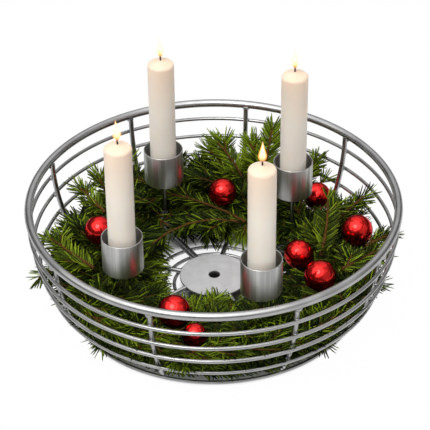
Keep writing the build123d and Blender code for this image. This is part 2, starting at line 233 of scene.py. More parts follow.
# Boughs that the photograph shows: number of the sprig, then root and tip, each as an azimuth
# in degrees, a share of the rim's radius and a share of the rim's height, then how far the
# middle bows up, as a share of the bough's length
BOUGH_SHARES = (
    (1, (50.5, 0.78, 0.38), (50.3, 0.93, 0.63), 0.05),
    (1, (46.0, 0.78, 0.38), (44.6, 0.91, 0.49), 0.05),
    (1, (60.0, 0.66, 0.28), (55.0, 0.92, 0.50), 0.06),
    (1, (54.0, 0.72, 0.34), (51.0, 0.92, 0.60), 0.06),
    (1, (34.0, 0.56, 0.22), (30.0, 0.84, 0.40), 0.06),
    (2, (67.0, 0.72, 0.42), (68.5, 0.96, 0.82), 0.05),
    (2, (71.1, 0.76, 0.42), (75.5, 0.88, 0.70), 0.06),
    (2, (74.1, 0.71, 0.38), (89.0, 0.85, 0.72), 0.06),
    (2, (86.2, 0.74, 0.34), (94.5, 0.78, 0.53), 0.06),
    (2, (80.0, 0.60, 0.24), (80.5, 0.39, 0.14), 0.10),
    (2, (66.0, 0.60, 0.24), (66.0, 0.40, 0.14), 0.10),
    (2, (78.0, 0.70, 0.36), (92.0, 0.83, 0.64), 0.06),
    (2, (84.0, 0.64, 0.26), (79.0, 0.84, 0.46), 0.06),
    (2, (66.0, 0.60, 0.26), (60.0, 0.84, 0.46), 0.06),
    (3, (89.8, 0.67, 0.28), (100.8, 0.74, 0.45), 0.05),
    (3, (100.0, 0.62, 0.24), (96.0, 0.84, 0.48), 0.06),
    (3, (110.0, 0.74, 0.26), (104.0, 0.86, 0.50), 0.06),
    (3, (112.0, 0.62, 0.22), (121.0, 0.82, 0.42), 0.06),
    (3, (65.7, 0.44, 0.28), (118.3, 0.65, 0.44), 0.0),
    (3, (113.9, 0.68, 0.38), (126.0, 0.80, 0.51), 0.05),
    (3, (70.0, 0.43, 0.28), (161.7, 0.38, 0.34), 0.065),
    (3, (96.0, 0.60, 0.22), (94.0, 0.38, 0.13), 0.10),
    (4, (119.6, 0.86, 0.36), (124.0, 0.90, 0.63), 0.06),
    (4, (133.0, 0.60, 0.24), (130.0, 0.86, 0.48), 0.06),
    (4, (150.0, 0.52, 0.20), (141.0, 0.78, 0.46), 0.06),
    (4, (131.0, 0.64, 0.22), (140.0, 0.39, 0.16), 0.08),
    (4, (145.0, 0.66, 0.24), (154.0, 0.36, 0.15), 0.08),
    (4, (141.1, 0.74, 0.38), (143.7, 0.82, 0.72), 0.05),
    (4, (155.0, 0.68, 0.55), (153.4, 0.85, 0.72), 0.03),
    (5, (166.8, 0.62, 0.30), (167.1, 0.83, 0.50), 0.06),
    (5, (162.0, 0.46, 0.18), (158.0, 0.76, 0.38), 0.06),
    (5, (160.0, 0.64, 0.24), (167.0, 0.32, 0.14), 0.08),
    (5, (176.0, 0.62, 0.22), (180.0, 0.31, 0.14), 0.08),
    (5, (190.0, 0.64, 0.22), (192.0, 0.31, 0.14), 0.08),
    (5, (196.2, 0.68, 0.49), (175.7, 0.92, 0.53), 0.03),
    (6, (182.0, 0.78, 0.34), (193.1, 0.99, 0.41), 0.04),
    (6, (205.0, 0.64, 0.22), (204.0, 0.31, 0.14), 0.08),
    (6, (222.0, 0.62, 0.22), (218.0, 0.33, 0.14), 0.08),
    (6, (203.5, 0.66, 0.23), (202.8, 0.87, 0.33), 0.05),
    (7, (214.8, 0.64, 0.22), (225.0, 0.85, 0.17), 0.06),
    (7, (256.5, 0.78, 0.38), (258.0, 0.91, 0.36), 0.03),
    (7, (257.5, 0.80, 0.30), (260.5, 0.91, 0.34), 0.03),
    (7, (238.0, 0.58, 0.20), (234.0, 0.32, 0.15), 0.08),
    (7, (252.0, 0.56, 0.20), (247.0, 0.27, 0.16), 0.08),
    (7, (264.0, 0.54, 0.20), (259.0, 0.25, 0.17), 0.08),
    (7, (274.0, 0.46, 0.18), (268.0, 0.25, 0.20), 0.06),
    (7, (236.0, 0.48, 0.18), (241.0, 0.25, 0.15), 0.08),
    (8, (314.4, 0.62, 0.23), (312.0, 0.85, 0.20), 0.06),
    (8, (284.0, 0.56, 0.20), (281.0, 0.27, 0.16), 0.08),
    (8, (299.0, 0.58, 0.20), (296.0, 0.32, 0.15), 0.08),
    (8, (311.0, 0.62, 0.22), (311.0, 0.37, 0.15), 0.08),
    (8, (288.0, 0.52, 0.18), (275.0, 0.30, 0.15), 0.08),
    (8, (304.0, 0.50, 0.18), (303.0, 0.28, 0.15), 0.08),
    (8, (292.0, 0.58, 0.22), (278.0, 0.60, 0.33), 0.05),
    (9, (341.1, 0.73, 0.51), (353.4, 0.90, 0.55), 0.03),
    (9, (347.0, 0.50, 0.24), (352.0, 0.72, 0.40), 0.06),
    (9, (326.0, 0.64, 0.22), (327.0, 0.38, 0.15), 0.08),
    (9, (340.0, 0.62, 0.22), (342.0, 0.41, 0.16), 0.08),
    (9, (338.0, 0.72, 0.31), (343.5, 0.92, 0.38), 0.04),
    (10, (-2.6, 0.59, 0.40), (28.1, 0.73, 0.63), 0.04),
    (10, (21.5, 0.74, 0.40), (21.4, 0.92, 0.65), 0.05),
    (10, (0.0, 0.84, 0.47), (2.6, 0.97, 0.55), 0.03),
    (10, (-8.0, 0.44, 0.18), (6.0, 0.68, 0.34), 0.06),
    (10, (16.0, 0.46, 0.18), (18.0, 0.76, 0.40), 0.06),
)

# Bed of the wreath, laid in each sprig's sector: share of the way across the sector, root and
# tip as shares of the rim's radius and height, and the tip's turn as a share of the sector
BED_SHARES = (
    (0.05, 0.48, 0.15, 0.86, 0.28, 0.10),
    (0.50, 0.46, 0.15, 0.88, 0.24, -0.10),
    (0.95, 0.48, 0.15, 0.86, 0.30, -0.05),
    (0.28, 0.76, 0.17, 0.44, 0.17, 0.20),
    (0.72, 0.74, 0.17, 0.43, 0.17, -0.20),
    (0.10, 0.62, 0.20, 0.68, 0.34, 0.70),
    (0.90, 0.80, 0.20, 0.76, 0.30, -0.70),
)

# Layers of the bed, each layer's shift across the sector and rise, and the bow of its boughs
BED_LAYERS = 2
BED_SHIFT_SHARE = 0.11
BED_RISE_SHARE = 0.09
BED_BOW_SHARE = 0.07

# Spread of the bed's tips: degrees of azimuth, and shares of the rim's radius and height
BED_SPREAD = (4.0, 0.02, 0.02)

# Boughs laid along the inside of the wall, from azimuth to azimuth in degrees, in layers: heights,
# gap to the wall as a share of a needle, length as a share of the step, and rise
WALL_SPAN = (192.0, 350.0)
WALL_STEP = 22.0
WALL_HEIGHT_SHARES = (0.06, 0.14, 0.23, 0.32, 0.40)
WALL_GAP_SHARE = 0.75
WALL_LENGTH_SHARE = 1.1
WALL_RISE_SHARE = 0.03

# How bright each sprig's boughs are, from dark to bright: partly their own tone and partly painted shade,
# darker where the wreath lies in shadow, and the spread of that
BOUGH_TONE_AND_SHADE_SHARES = (0.72, 0.82, 0.22, 0.66, 0.66, 0.82, 0.66, 0.46, 0.42, 0.42)
BOUGH_TONE_SPREAD = 0.14

# Shoots of a sprig, in the order in which they grow: the boughs they are or leave, side shoots on
# each of those boughs, their length as a share of the bough's, the twig's radius as a share of a
# bough's, the darkest and brightest tone, each as a fixed part and a share of the sprig's own, and
# how far the needles may pass the wall as a share of their length
SHOOT_KINDS = (
    ("shown", 0, 1.0, 1.0, (-BOUGH_TONE_SPREAD, 1.0), (BOUGH_TONE_SPREAD, 1.0), 1.1),
    ("shown", 2, 0.36, 0.6, (-BOUGH_TONE_SPREAD, 1.0), (BOUGH_TONE_SPREAD, 1.0), 0.9),
    # The bed's low tones are painted shade for boughs that lie deep in the wreath
    ("bed", 0, 1.0, 0.85, (0.0, 0.0), (0.18, 0.0), 0.2),
    ("bed", 4, 0.50, 0.55, (0.0, 0.0), (0.30, 0.0), 0.3),
    ("wall", 0, 1.0, 0.85, (0.0, 0.30), (0.0, 0.85), 0.2),
    ("wall", 4, 0.50, 0.55, (0.0, 0.36), (0.0, 1.10), 0.3),
)

# Side shoots: where the first and last leave the bough, loss of length along it, range of lengths,
# and how far the tip bends back along and above the bough
SHOOT_PLACE_SHARES = (0.14, 0.70)
SHOOT_TAPER_SHARE = 0.55
SHOOT_LENGTH_SHARES = (0.8, 1.15)
SHOOT_FORWARD_SHARE = 0.25
SHOOT_UPWARD_SHARE = 0.08

# Side shoots: middle and spread of the turn off the bough in degrees, and of the lift
SHOOT_TURN = (46.0, 5.0)
SHOOT_LIFT_SHARES = (0.08, 0.12)

# Twigs: places along them and thickness there, down to a blunt bud
TWIG_PLACE_SHARES = np.array([0.0, 0.25, 0.5, 0.75, 0.93, 0.97])
TWIG_TAPER_SHARES = np.array([1.0, 0.9, 0.75, 0.62, 0.62, 0.2])

# Needles round a shoot, in degrees: the lowest, the range above it and the spread, and the golden
# ratio's step through that range
NEEDLE_LOWEST = -36.0
NEEDLE_RANGE = 60.0
NEEDLE_RISE_SPREAD = 6.0
GOLDEN_SHARE = 0.618

# Needles along a shoot: fewest of them, loss of lean at the tip with its power, and the lean's spread
NEEDLE_FEWEST = 3
NEEDLE_CLOSE_SHARE = 0.70
NEEDLE_CLOSE_POWER = 6
NEEDLE_LEAN_SPREAD = 0.07

# Lengths of needles: the shortest at the shoot's root, where they are full, loss on top, and range
NEEDLE_ROOT_SHARE = 0.55
NEEDLE_FULL_SHARE = 0.2
NEEDLE_TOP_SHARE = 0.28
NEEDLE_LENGTH_SHARES = (0.86, 1.10)

# One needle: bend, the bend's upward part, thickness against width, rows along it and widths there
NEEDLE_BEND_SHARE = 0.05
NEEDLE_BEND_UP_SHARE = 0.5
NEEDLE_THICK_SHARE = 0.5
NEEDLE_ROW_SHARES = np.array([0.0, 0.45, 0.88])
NEEDLE_WIDTH_SHARES = np.array([0.55, 1.0, 0.70])

# One needle's points: rows of three and a tip, with the height of each, its ridge and its end faces
NEEDLE_HEIGHT_SHARES = np.append(np.repeat(NEEDLE_ROW_SHARES, 3), 1.0)
NEEDLE_RIDGE = [1, 4, 7, 9]
NEEDLE_TIP_FACES = np.array([(6, 7, 9), (7, 8, 9), (8, 6, 9)])
NEEDLE_FOOT_FACE = np.array([(2, 1, 0)])

# Shades of single needles about their bough's: how far below it the darkest are, how far above
# that the brightest are, and the power that keeps the bright ones few
SHADE_DROP = 0.24
SHADE_RANGE = 1.15
SHADE_POWER = 2.2

# Room that the fir leaves: above the table and beside a stem's line of sight in metres, round a stem
# as a share of its cup's radius, and points tested along a shoot
TABLE_GAP = 0.001
OPEN_HALF = 0.0024
STEM_ROOM_SHARE = 0.12
TEST_POINTS = 5

# What the fir leaves open to the front: shares of each stem's height from its top, and of each
# bauble's radius
STEM_OPEN_SHARES = (0.62, 1.0, 0.25, 0.25)
BAUBLE_OPEN_SHARES = (0.95, 0.95, 0.55, 0.92, 0.95, 0.95, 1.0, 1.02)

# Floor: its depth under the table's height in metres, and by shares of the rim's radius how white
# it shows and the grey of its own colour, which is painted shade under the plate
FLOOR_DEPTH = 0.0004
FLOOR_WHITE_SHARES = ((0.17, 0.0), (0.21, 0.88), (0.37, 0.84), (0.45, 0.05), (0.79, 0.05), (0.83, 0.985))
FLOOR_GREY_AND_PAINTED_SHADE_SHARES = ((0.15, 0.12), (0.19, 0.86))

# Studio light from the horizon to overhead
SKY_SHARES = ((0.0, 0.09), (0.35, 0.13), (0.75, 0.45), (1.0, 0.75))

# Lamps: name, place and width in metres, and power in watts, all aimed at one point
LAMPS = (
    ("key", (-0.45, -0.50, 1.50), 2.8, 25.0),
    ("window", (-0.35, -0.60, 1.40), 0.8, 9.0),
    ("fill", (1.20, -0.90, 1.00), 2.4, 6.0),
    ("back", (0.20, 1.30, 1.50), 2.4, 7.0),
)
LAMP_AIM = (0.0, 0.0, 0.08)

# Width of the camera's sensor, in millimetres
SENSOR_WIDTH = 36.0


class AdventWire(PropertyGroup):
    """Finish of the wire, the plate and the cups."""

    colour: FloatVectorProperty(
        name="Steel colour", description="Colour of the wire's zinc",
        subtype="COLOR", default=(0.40, 0.40, 0.40),
    )
    plate_colour: FloatVectorProperty(
        name="Plate colour", description="Colour of the plate",
        subtype="COLOR", default=(0.485, 0.485, 0.485),
    )
    cup_colour: FloatVectorProperty(
        name="Cup colour", description="Colour of the cups",
        subtype="COLOR", default=(0.52, 0.52, 0.51),
    )
    cup_wall: FloatProperty(
        name="Cup wall", description="Thickness of a cup's sheet",
        unit="LENGTH", default=0.001,
    )
    weld_radius: FloatProperty(
        name="Weld radius", description="Radius of a weld bead",
        unit="LENGTH", default=0.0026,
    )


class AdventCandle(PropertyGroup):
    """Candles, wicks and flames."""

    wax_colour: FloatVectorProperty(
        name="Wax colour", description="Ivory of the wax",
        subtype="COLOR", default=(0.83, 0.765, 0.68),
    )
    painted_light_colour: FloatVectorProperty(
        name="Warm wax", description="Wax lit through near the flame",
        subtype="COLOR", default=(0.78, 0.62, 0.48),
    )
    painted_light_depth: FloatProperty(
        name="Warm depth", description="How far down the wax is lit through",
        unit="LENGTH", default=0.055,
    )
    painted_glow_colour: FloatVectorProperty(
        name="Glow colour", description="Light of the flame in the wax",
        subtype="COLOR", default=(1.0, 0.56, 0.28),
    )
    painted_glow_depth: FloatProperty(
        name="Glow depth", description="How far down the wax glows",
        unit="LENGTH", default=0.026,
    )
    flame_gap: FloatProperty(
        name="Flame gap", description="From the wax to the flame's foot",
        unit="LENGTH", default=0.0034,
    )
    flame_height: FloatProperty(
        name="Flame height", description="From its foot to its tip",
        unit="LENGTH", default=0.0226,
    )
    flame_radius: FloatProperty(
        name="Flame radius", description="Half its widest width",
        unit="LENGTH", default=0.0042,
    )


class AdventBauble(PropertyGroup):
    """Glass baubles and their caps."""

    glass_colour: FloatVectorProperty(
        name="Glass colour", description="Red of the glass",
        subtype="COLOR", default=(0.82, 0.010, 0.008),
    )
    cap_colour: FloatVectorProperty(
        name="Cap colour", description="Metal of the caps",
        subtype="COLOR", default=(0.70, 0.52, 0.24),
    )
    steps: IntProperty(name="Steps", description="Facets round a bauble", default=72, min=12)


class AdventFir(PropertyGroup):
    """Fir sprigs."""

    needle_length: FloatProperty(
        name="Needle length", description="Length of a full needle",
        unit="LENGTH", default=0.0176,
    )
    needle_width: FloatProperty(
        name="Needle width", description="Width of a needle",
        unit="LENGTH", default=0.0015,
    )
    needle_pitch: FloatProperty(
        name="Needle pitch", description="Step between needles along a shoot",
        unit="LENGTH", default=0.00050,
    )
    needle_lean: FloatProperty(
        name="Needle lean", description="Angle of a needle to its shoot",
        subtype="ANGLE", default=radians(50),
    )
    twig_radius: FloatProperty(
        name="Twig radius", description="Radius of a bough at its root",
        unit="LENGTH", default=0.0018,
    )
    clearance: FloatProperty(
        name="Clearance", description="Room left round cups, baubles and wires",
        unit="LENGTH", default=0.0006,
    )
    dark_colour: FloatVectorProperty(
        name="Dark green", description="Darkest needles",
        subtype="COLOR", default=(0.004, 0.011, 0.0008),
    )
    bright_colour: FloatVectorProperty(
        name="Bright green", description="Brightest needles",
        subtype="COLOR", default=(0.190, 0.283, 0.014),
    )
    bark_colour: FloatVectorProperty(
        name="Bark", description="Bark of the twigs",
        subtype="COLOR", default=(0.080, 0.035, 0.007),
    )
    seed: IntProperty(name="Seed", description="Seed of the spread of needles", default=24)


class AdventStage(PropertyGroup):
    """Floor and camera."""

    target: FloatVectorProperty(
        name="Target", description="Point the camera looks at",
        subtype="XYZ", default=(0.001247, 0.0, 0.088996),
    )
    distance: FloatProperty(
        name="Distance", description="Camera to target",
        unit="LENGTH", default=1.691087,
    )
    look_down: FloatProperty(
        name="Look down", description="Camera's angle below the horizon",
        subtype="ANGLE", default=radians(35.5996),
    )
    roll: FloatProperty(
        name="Roll", description="Camera's turn about its view",
        subtype="ANGLE", default=radians(-0.5886),
    )
    lens: FloatProperty(name="Lens", description="Focal length in millimetres", default=147.58)
    floor_size: FloatProperty(
        name="Floor size", description="Side of the floor",
        unit="LENGTH", default=40.0,
    )


# Mesh building


def unit(vectors):
    """Vectors divided by their lengths."""
    return vectors / np.linalg.norm(vectors, axis=-1, keepdims=True)


def polar(azimuth, radius, height):
    """Points at azimuths in degrees, radii and heights."""
    angle = np.radians(azimuth)
    return np.stack(np.broadcast_arrays(radius * np.cos(angle), radius * np.sin(angle), height), -1)


def turns(count):
    """Angles of even steps round a circle."""
    return np.linspace(0, 2 * pi, count, endpoint=False)


def grid_faces(rows, columns, closed_rows, closed_columns):
    """Quads of a grid of rows by columns, and the row and column share at each corner."""
    row_span = rows - (not closed_rows)
    column_span = columns - (not closed_columns)
    row, column = np.meshgrid(np.arange(row_span), np.arange(column_span), indexing="ij")
    row, column = row.ravel(), column.ravel()
    corner_rows = np.stack([row, row + 1, row + 1, row], 1)
    corner_columns = np.stack([column, column, column + 1, column + 1], 1)
    quads = (corner_rows % rows) * columns + corner_columns % columns
    uv = np.stack([corner_rows / row_span, corner_columns / column_span], -1)
    return quads, uv.reshape(-1, 2)


def joined(shells):
    """One shape made of shells, and for each of its faces the number of its shell."""
    points, faces, uv, numbers = [], [], [], []
    start = 0
    for number, (shell_points, shell_faces, shell_uv) in enumerate(shells):
        points.append(shell_points)
        faces += [face + start for face in shell_faces]
        uv.append(shell_uv)
        numbers += [np.full(len(face), number) for face in shell_faces]
        start += len(shell_points)
    return (np.concatenate(points), faces, np.concatenate(uv)), np.concatenate(numbers)


def add_piece(name, shape, materials, body, replaced=(), face_materials=None):
    """Mesh object from a shape: points, a list of face index arrays, and UVs of the faces' corners."""
    points, faces, uv = shape
    mesh = bpy.data.meshes.new(name)
    corners = np.concatenate([face.ravel() for face in faces])
    totals = np.concatenate([np.full(len(face), face.shape[1]) for face in faces])
    mesh.vertices.add(len(points))
    mesh.vertices.foreach_set("co", np.asarray(points, np.float32).ravel())
    mesh.loops.add(len(corners))
    mesh.loops.foreach_set("vertex_index", corners.astype(np.int32))
    mesh.polygons.add(len(totals))
    starts = np.concatenate([[0], np.cumsum(totals)[:-1]])
    mesh.polygons.foreach_set("loop_start", starts.astype(np.int32))
    mesh.polygons.foreach_set("use_smooth", np.ones(len(totals), bool))
    if face_materials is not None:
        mesh.polygons.foreach_set("material_index", face_materials.astype(np.int32))
    mesh.uv_layers.new(name="UVMap").data.foreach_set("uv", np.asarray(uv, np.float32).ravel())
    mesh.update(calc_edges=True)
    for material in materials:
        mesh.materials.append(material)
    piece = bpy.data.objects.new(name, mesh)
    bpy.context.scene.collection.objects.link(piece)
    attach(piece, body)
    if replaced:
        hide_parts(*replaced)
    return piece


def lathe(profile, center, steps, closed):
    """Profile of radii and heights turned about an upright axis through center.

    Point (i, j) is (r_j cos a_i, r_j sin a_i, z_j). An open profile's ends get one flat face each.
    """
    angle = turns(steps)
    radius, height = np.asarray(profile, float).T
    x = center[0] + np.outer(np.cos(angle), radius)
    y = center[1] + np.outer(np.sin(angle), radius)
    z = np.broadcast_to(center[2] + height, x.shape)
    points = np.stack([x, y, z], -1).reshape(-1, 3)
    quads, uv = grid_faces(steps, len(radius), True, closed)
    faces = [quads]
    if not closed:
        first = np.arange(steps)[::-1] * len(radius)
        last = np.arange(steps) * len(radius) + len(radius) - 1
        faces.append(np.stack([first, last]))
        uv = np.concatenate([uv, np.zeros((2 * steps, 2))])
    return points, faces, uv


def arc(center, radius, first, last, count):
    """Points of an arc in the profile's plane, angles in degrees from outwards to upwards."""
    angle = np.radians(np.linspace(first, last, count))
    return np.stack([center[0] + radius * np.cos(angle), center[1] + radius * np.sin(angle)], 1)


def curve_points(control, share):
    """Point (1-t)^2 a + 2t(1-t) b + t^2 c of each quadratic curve, and its unit direction."""
    share = share[..., None]
    first, middle, last = control[..., 0, :], control[..., 1, :], control[..., 2, :]
    point = (1 - share) ** 2 * first + 2 * share * (1 - share) * middle + share**2 * last
    slope = (1 - share) * (middle - first) + share * (last - middle)
    return point, unit(slope)


def points_along(curves, shares):
    """Points and directions at the same shares of every curve."""
    return curve_points(curves[:, None], np.broadcast_to(shares, (len(curves), len(shares))))


def cross_frame(direction):
    """Sideways and upward unit vectors across each direction."""
    side = unit(np.cross(direction, UPRIGHT) + UPRIGHT_SIDE)
    return side, np.cross(side, direction)


# Nodes of the materials


def new_material(name, colour, sockets):
    """Node material with plain values on its shader's sockets, its node tree and its shader."""
    material = bpy.data.materials.new(name)
    material.use_nodes = True
    shader = material.node_tree.nodes["Principled BSDF"]
    for socket, value in {"Base Color": (*colour, 1.0), **sockets}.items():
        shader.inputs[socket].default_value = value
    return material, material.node_tree, shader


def add_node(tree, kind, values=(), **properties):
    """New node with properties and input values."""
    node = tree.nodes.new(kind)
    for name, value in properties.items():
        setattr(node, name, value)
    for socket, value in dict(values).items():
        node.inputs[socket].default_value = value
    return node


def coordinates(tree, output="Object", stretch=(1.0, 1.0, 1.0)):
    """Object or UV coordinates stretched along each axis."""
    source = add_node(tree, "ShaderNodeTexCoord")
    mapping = add_node(tree, "ShaderNodeMapping", {"Scale": stretch})
    tree.links.new(source.outputs[output], mapping.inputs["Vector"])
    return mapping.outputs["Vector"]


def split(tree, vector):
    """X, Y and Z of a vector."""
    node = add_node(tree, "ShaderNodeSeparateXYZ")
    tree.links.new(vector, node.inputs["Vector"])
    return node.outputs


def upward(tree, low, high):
    """Share of the way from a low to a high height, clamped."""
    source = add_node(tree, "ShaderNodeTexCoord")
    span = add_node(tree, "ShaderNodeMapRange", {"From Min": low, "From Max": high})
    tree.links.new(split(tree, source.outputs["Object"])["Z"], span.inputs["Value"])
    return span.outputs["Result"]


def from_axis(tree, stretch):
    """Distance from the upright axis, times a stretch."""
    node = add_node(tree, "ShaderNodeVectorMath", operation="LENGTH")
    tree.links.new(coordinates(tree, stretch=(stretch, stretch, 0.0)), node.inputs[0])
    return node.outputs["Value"]


def noise(tree, vector, scale, detail=4.0):
    """Noise value on a vector."""
    node = add_node(tree, "ShaderNodeTexNoise", {"Scale": scale, "Detail": detail})
    tree.links.new(vector, node.inputs["Vector"])
    return node.outputs["Fac"]


def tones(colour, *factors):
    """Stops of one colour: at each place the colour times a factor."""
    return [(place, tuple(factor * channel for channel in colour)) for place, factor in factors]


def between(first, last, share):
    """Colour a share of the way from the first to the last."""
    return tuple(a + share * (b - a) for a, b in zip(first, last))


def ramp(tree, value, stops):
    """Colour ramp of a value through (place, colour) stops."""
    node = add_node(tree, "ShaderNodeValToRGB")
    elements = node.color_ramp.elements
    for place, _ in stops[2:]:
        elements.new(place)
    for element, (place, colour) in zip(elements, stops):
        element.position = place
        element.color = (*colour, 1.0)
    tree.links.new(value, node.inputs["Fac"])
    return node.outputs["Color"]


def paint(tree, value, stops, shader, socket):
    """Colour ramp of a value on a shader's socket."""
    tree.links.new(ramp(tree, value, stops), shader.inputs[socket])


def multiply(tree, first, second):
    """Product of two colours."""
    node = add_node(tree, "ShaderNodeMix", {"Factor": 1.0}, data_type="RGBA", blend_type="MULTIPLY")
    for source, socket in zip((first, second), MIX_COLOUR_INPUTS):
        tree.links.new(source, node.inputs[socket])
    return node.outputs[MIX_COLOUR_OUTPUT]


def bump(tree, height, depth, shader, strength):
    """Bump from a height value on a shader."""
    node = add_node(tree, "ShaderNodeBump", {"Distance": depth, "Strength": strength})
    tree.links.new(height, node.inputs["Height"])
    tree.links.new(node.outputs["Normal"], shader.inputs["Normal"])


def mix_shaders(tree, factor, first, second):
    """Shader that goes from the first to the second with a factor."""
    node = add_node(tree, "ShaderNodeMixShader")
    for source, socket in zip((factor, first, second), node.inputs):
        tree.links.new(source, socket)
    return node.outputs["Shader"]


# Finishes


def steel_wire(settings, name, output, streaks):
    """Zinc-plated satin wire: cloudy grey with fine drawn streaks along the stretched axis."""
    material, tree, shader = new_material(name, settings.colour, {"Roughness": 0.40, "Metallic": 1.0})
    cloud = noise(tree, coordinates(tree), WIRE_CLOUDS, detail=5.0)
    zinc = tones(settings.colour, (0.25, 0.78), (0.5, 1.0), (0.8, 1.22))
    paint(tree, cloud, zinc, shader, "Base Color")
    fine = noise(tree, coordinates(tree, output, streaks), 1.0)
    paint(tree, fine, tones(WHITE, (0.3, 0.24), (0.75, 0.40)), shader, "Roughness")
    bump(tree, fine, STREAK_DEPTH, shader, strength=0.10)
    return material


def plate_sheet(settings):
    """Pale matt sheet with faint clouds and grain, painted shade in its middle hole, and darker at its outer
    rim.
    """
    material, tree, shader = new_material(
        "plate sheet", settings.plate_colour, {"Roughness": 0.55, "Metallic": 0.35}
    )
    vector = coordinates(tree)
    cloud = noise(tree, vector, PLATE_CLOUDS, detail=6.0)
    sheet = ramp(tree, cloud, tones(settings.plate_colour, (0.3, 0.90), (0.7, 1.08)))
    # Painted shade: dark in the middle hole; the outer rim is darker too
    hole_shade_and_dark_rim = tones(WHITE, (0.0, 0.25), (0.165, 0.25), (0.18, 1.0), (0.975, 1.0), (0.995, 0.22))
    edges = ramp(tree, from_axis(tree, 1 / BOXES["centre_plate"][1].x), hole_shade_and_dark_rim)
    tree.links.new(multiply(tree, sheet, edges), shader.inputs["Base Color"])
    bump(tree, noise(tree, vector, PLATE_GRAIN), PLATE_GRAIN_DEPTH, shader, strength=0.2)
    return material


def cup_sheet(settings):
    """Drawn steel with upright brushing: noise stretched down the wall by the UV map."""
    material, tree, shader = new_material(
        "cup sheet", settings.cup_colour, {"Roughness": 0.30, "Metallic": 1.0}
    )
    broad = noise(tree, coordinates(tree, "UV", CUP_BANDS), 1.0, detail=3.0)
    fine = noise(tree, coordinates(tree, "UV", CUP_BRUSHING), 1.0)
    blend = add_node(tree, "ShaderNodeMath", {1: 0.35}, operation="MULTIPLY_ADD")
    tree.links.new(fine, blend.inputs[0])
    tree.links.new(broad, blend.inputs[2])
    steel = tones(settings.cup_colour, (0.42, 0.70), (0.68, 1.0), (0.92, 1.35))
    paint(tree, blend.outputs[0], steel, shader, "Base Color")
    paint(tree, fine, tones(WHITE, (0.3, 0.28), (0.7, 0.46)), shader, "Roughness")
    bump(tree, fine, BRUSH_DEPTH, shader, strength=0.3)
    return material


def candle_wax(settings, top):
    """Ivory wax: light goes into it, and near the flame it gets painted light, a warmer colour and a painted
    glow.
    """
    sockets = {
        "Roughness": 0.42,
        "Subsurface Weight": 0.35,
        "Subsurface Radius": (1.0, 0.6, 0.35),
        "Subsurface Scale": WAX_LIGHT_DEPTH,
        "Specular IOR Level": 0.30,
        "Emission Strength": 1.0,
    }
    material, tree, shader = new_material("candle wax", settings.wax_colour, sockets)
    vector = coordinates(tree, stretch=WAX_STRETCH)
    cloud = ramp(tree, noise(tree, vector, WAX_CLOUDS, detail=5.0), tones(WHITE, (0.3, 0.97), (0.7, 1.0)))
    # Painted light: the wax turns warmer towards its top, as if lit by the flame
    ivory_to_painted_light = ((0.0, settings.wax_colour), (1.0, settings.painted_light_colour))
    painted_light = ramp(tree, upward(tree, top - settings.painted_light_depth, top), ivory_to_painted_light)
    tree.links.new(multiply(tree, painted_light, cloud), shader.inputs["Base Color"])
    bump(tree, noise(tree, vector, WAX_DIMPLES), WAX_DIMPLE_DEPTH, shader, strength=0.12)
    # Painted glow: the wax gives off light near its top, standing in for the flame's light in it
    painted_glow = tones(settings.painted_glow_colour, (0.0, 0.0), (0.55, 0.01), (1.0, 0.035))
    paint(tree, upward(tree, top - settings.painted_glow_depth, top), painted_glow, shader, "Emission Color")
    return material


def wick_char(top):
    """Charred cord with a glowing end."""
    material, tree, shader = new_material("charred wick", CHAR, {"Roughness": 0.85, "Emission Strength": 1.2})
    ember = ((0.0, BLACK), (0.45, EMBER_RED), (1.0, EMBER_ORANGE))
    paint(tree, upward(tree, top - WICK_EMBER, top), ember, shader, "Emission Color")
    bump(tree, noise(tree, coordinates(tree), WICK_FIBRES), WICK_FIBRE_DEPTH, shader, strength=0.6)
    return material


def flame_gas(layer, low, high):
    """Thin glowing gas of a layer, from the orange veil to the white core, and clear at its foot."""
    sockets = {"Roughness": 1.0, "Specular IOR Level": 0.0, "Emission Strength": FLAME_STRENGTH}
    material, tree, shader = new_material(f"flame layer {layer + 1}", BLACK, sockets)
    share = layer / (len(FLAME_LAYER_SHARES) - 1)
    foot = between(*FLAME_FOOT_COLOURS, share)
    body = between(*FLAME_BODY_COLOURS, share)
    rise = upward(tree, low, high)
    paint(tree, rise, ((0.0, foot), (0.35, body), (1.0, body)), shader, "Emission Color")
    veil = tones(WHITE, (0.0, 0.0), (0.25, FLAME_ALPHA), (1.0, FLAME_ALPHA))
    paint(tree, rise, veil, shader, "Alpha")
    return material


def red_glass(settings):
    """Mirrored red glass under a clear gloss, with slight unevenness."""
    sockets = {
        "Roughness": 0.17,
        "Metallic": 1.0,
        "Coat Weight": 0.45,
        "Coat Roughness": 0.06,
        "Specular Tint": (0.62, 0.03, 0.025, 1.0),
    }
    material, tree, shader = new_material("red glass", settings.glass_colour, sockets)
    vector = coordinates(tree)
    cloud = noise(tree, vector, GLASS_CLOUDS, detail=3.0)
    paint(tree, cloud, tones(settings.glass_colour, (0.3, 0.85), (0.7, 1.15)), shader, "Base Color")
    bump(tree, noise(tree, vector, GLASS_WAVES, detail=1.0), GLASS_WAVE_DEPTH, shader, strength=0.05)
    return material


def cap_metal(settings):
    """Thin pressed metal, a little tarnished."""
    material, tree, shader = new_material(
        "cap metal", settings.cap_colour, {"Roughness": 0.32, "Metallic": 1.0}
    )
    cloud = noise(tree, coordinates(tree), CAP_CLOUDS)
    paint(tree, cloud, tones(settings.cap_colour, (0.3, 0.7), (0.7, 1.0)), shader, "Base Color")
    return material


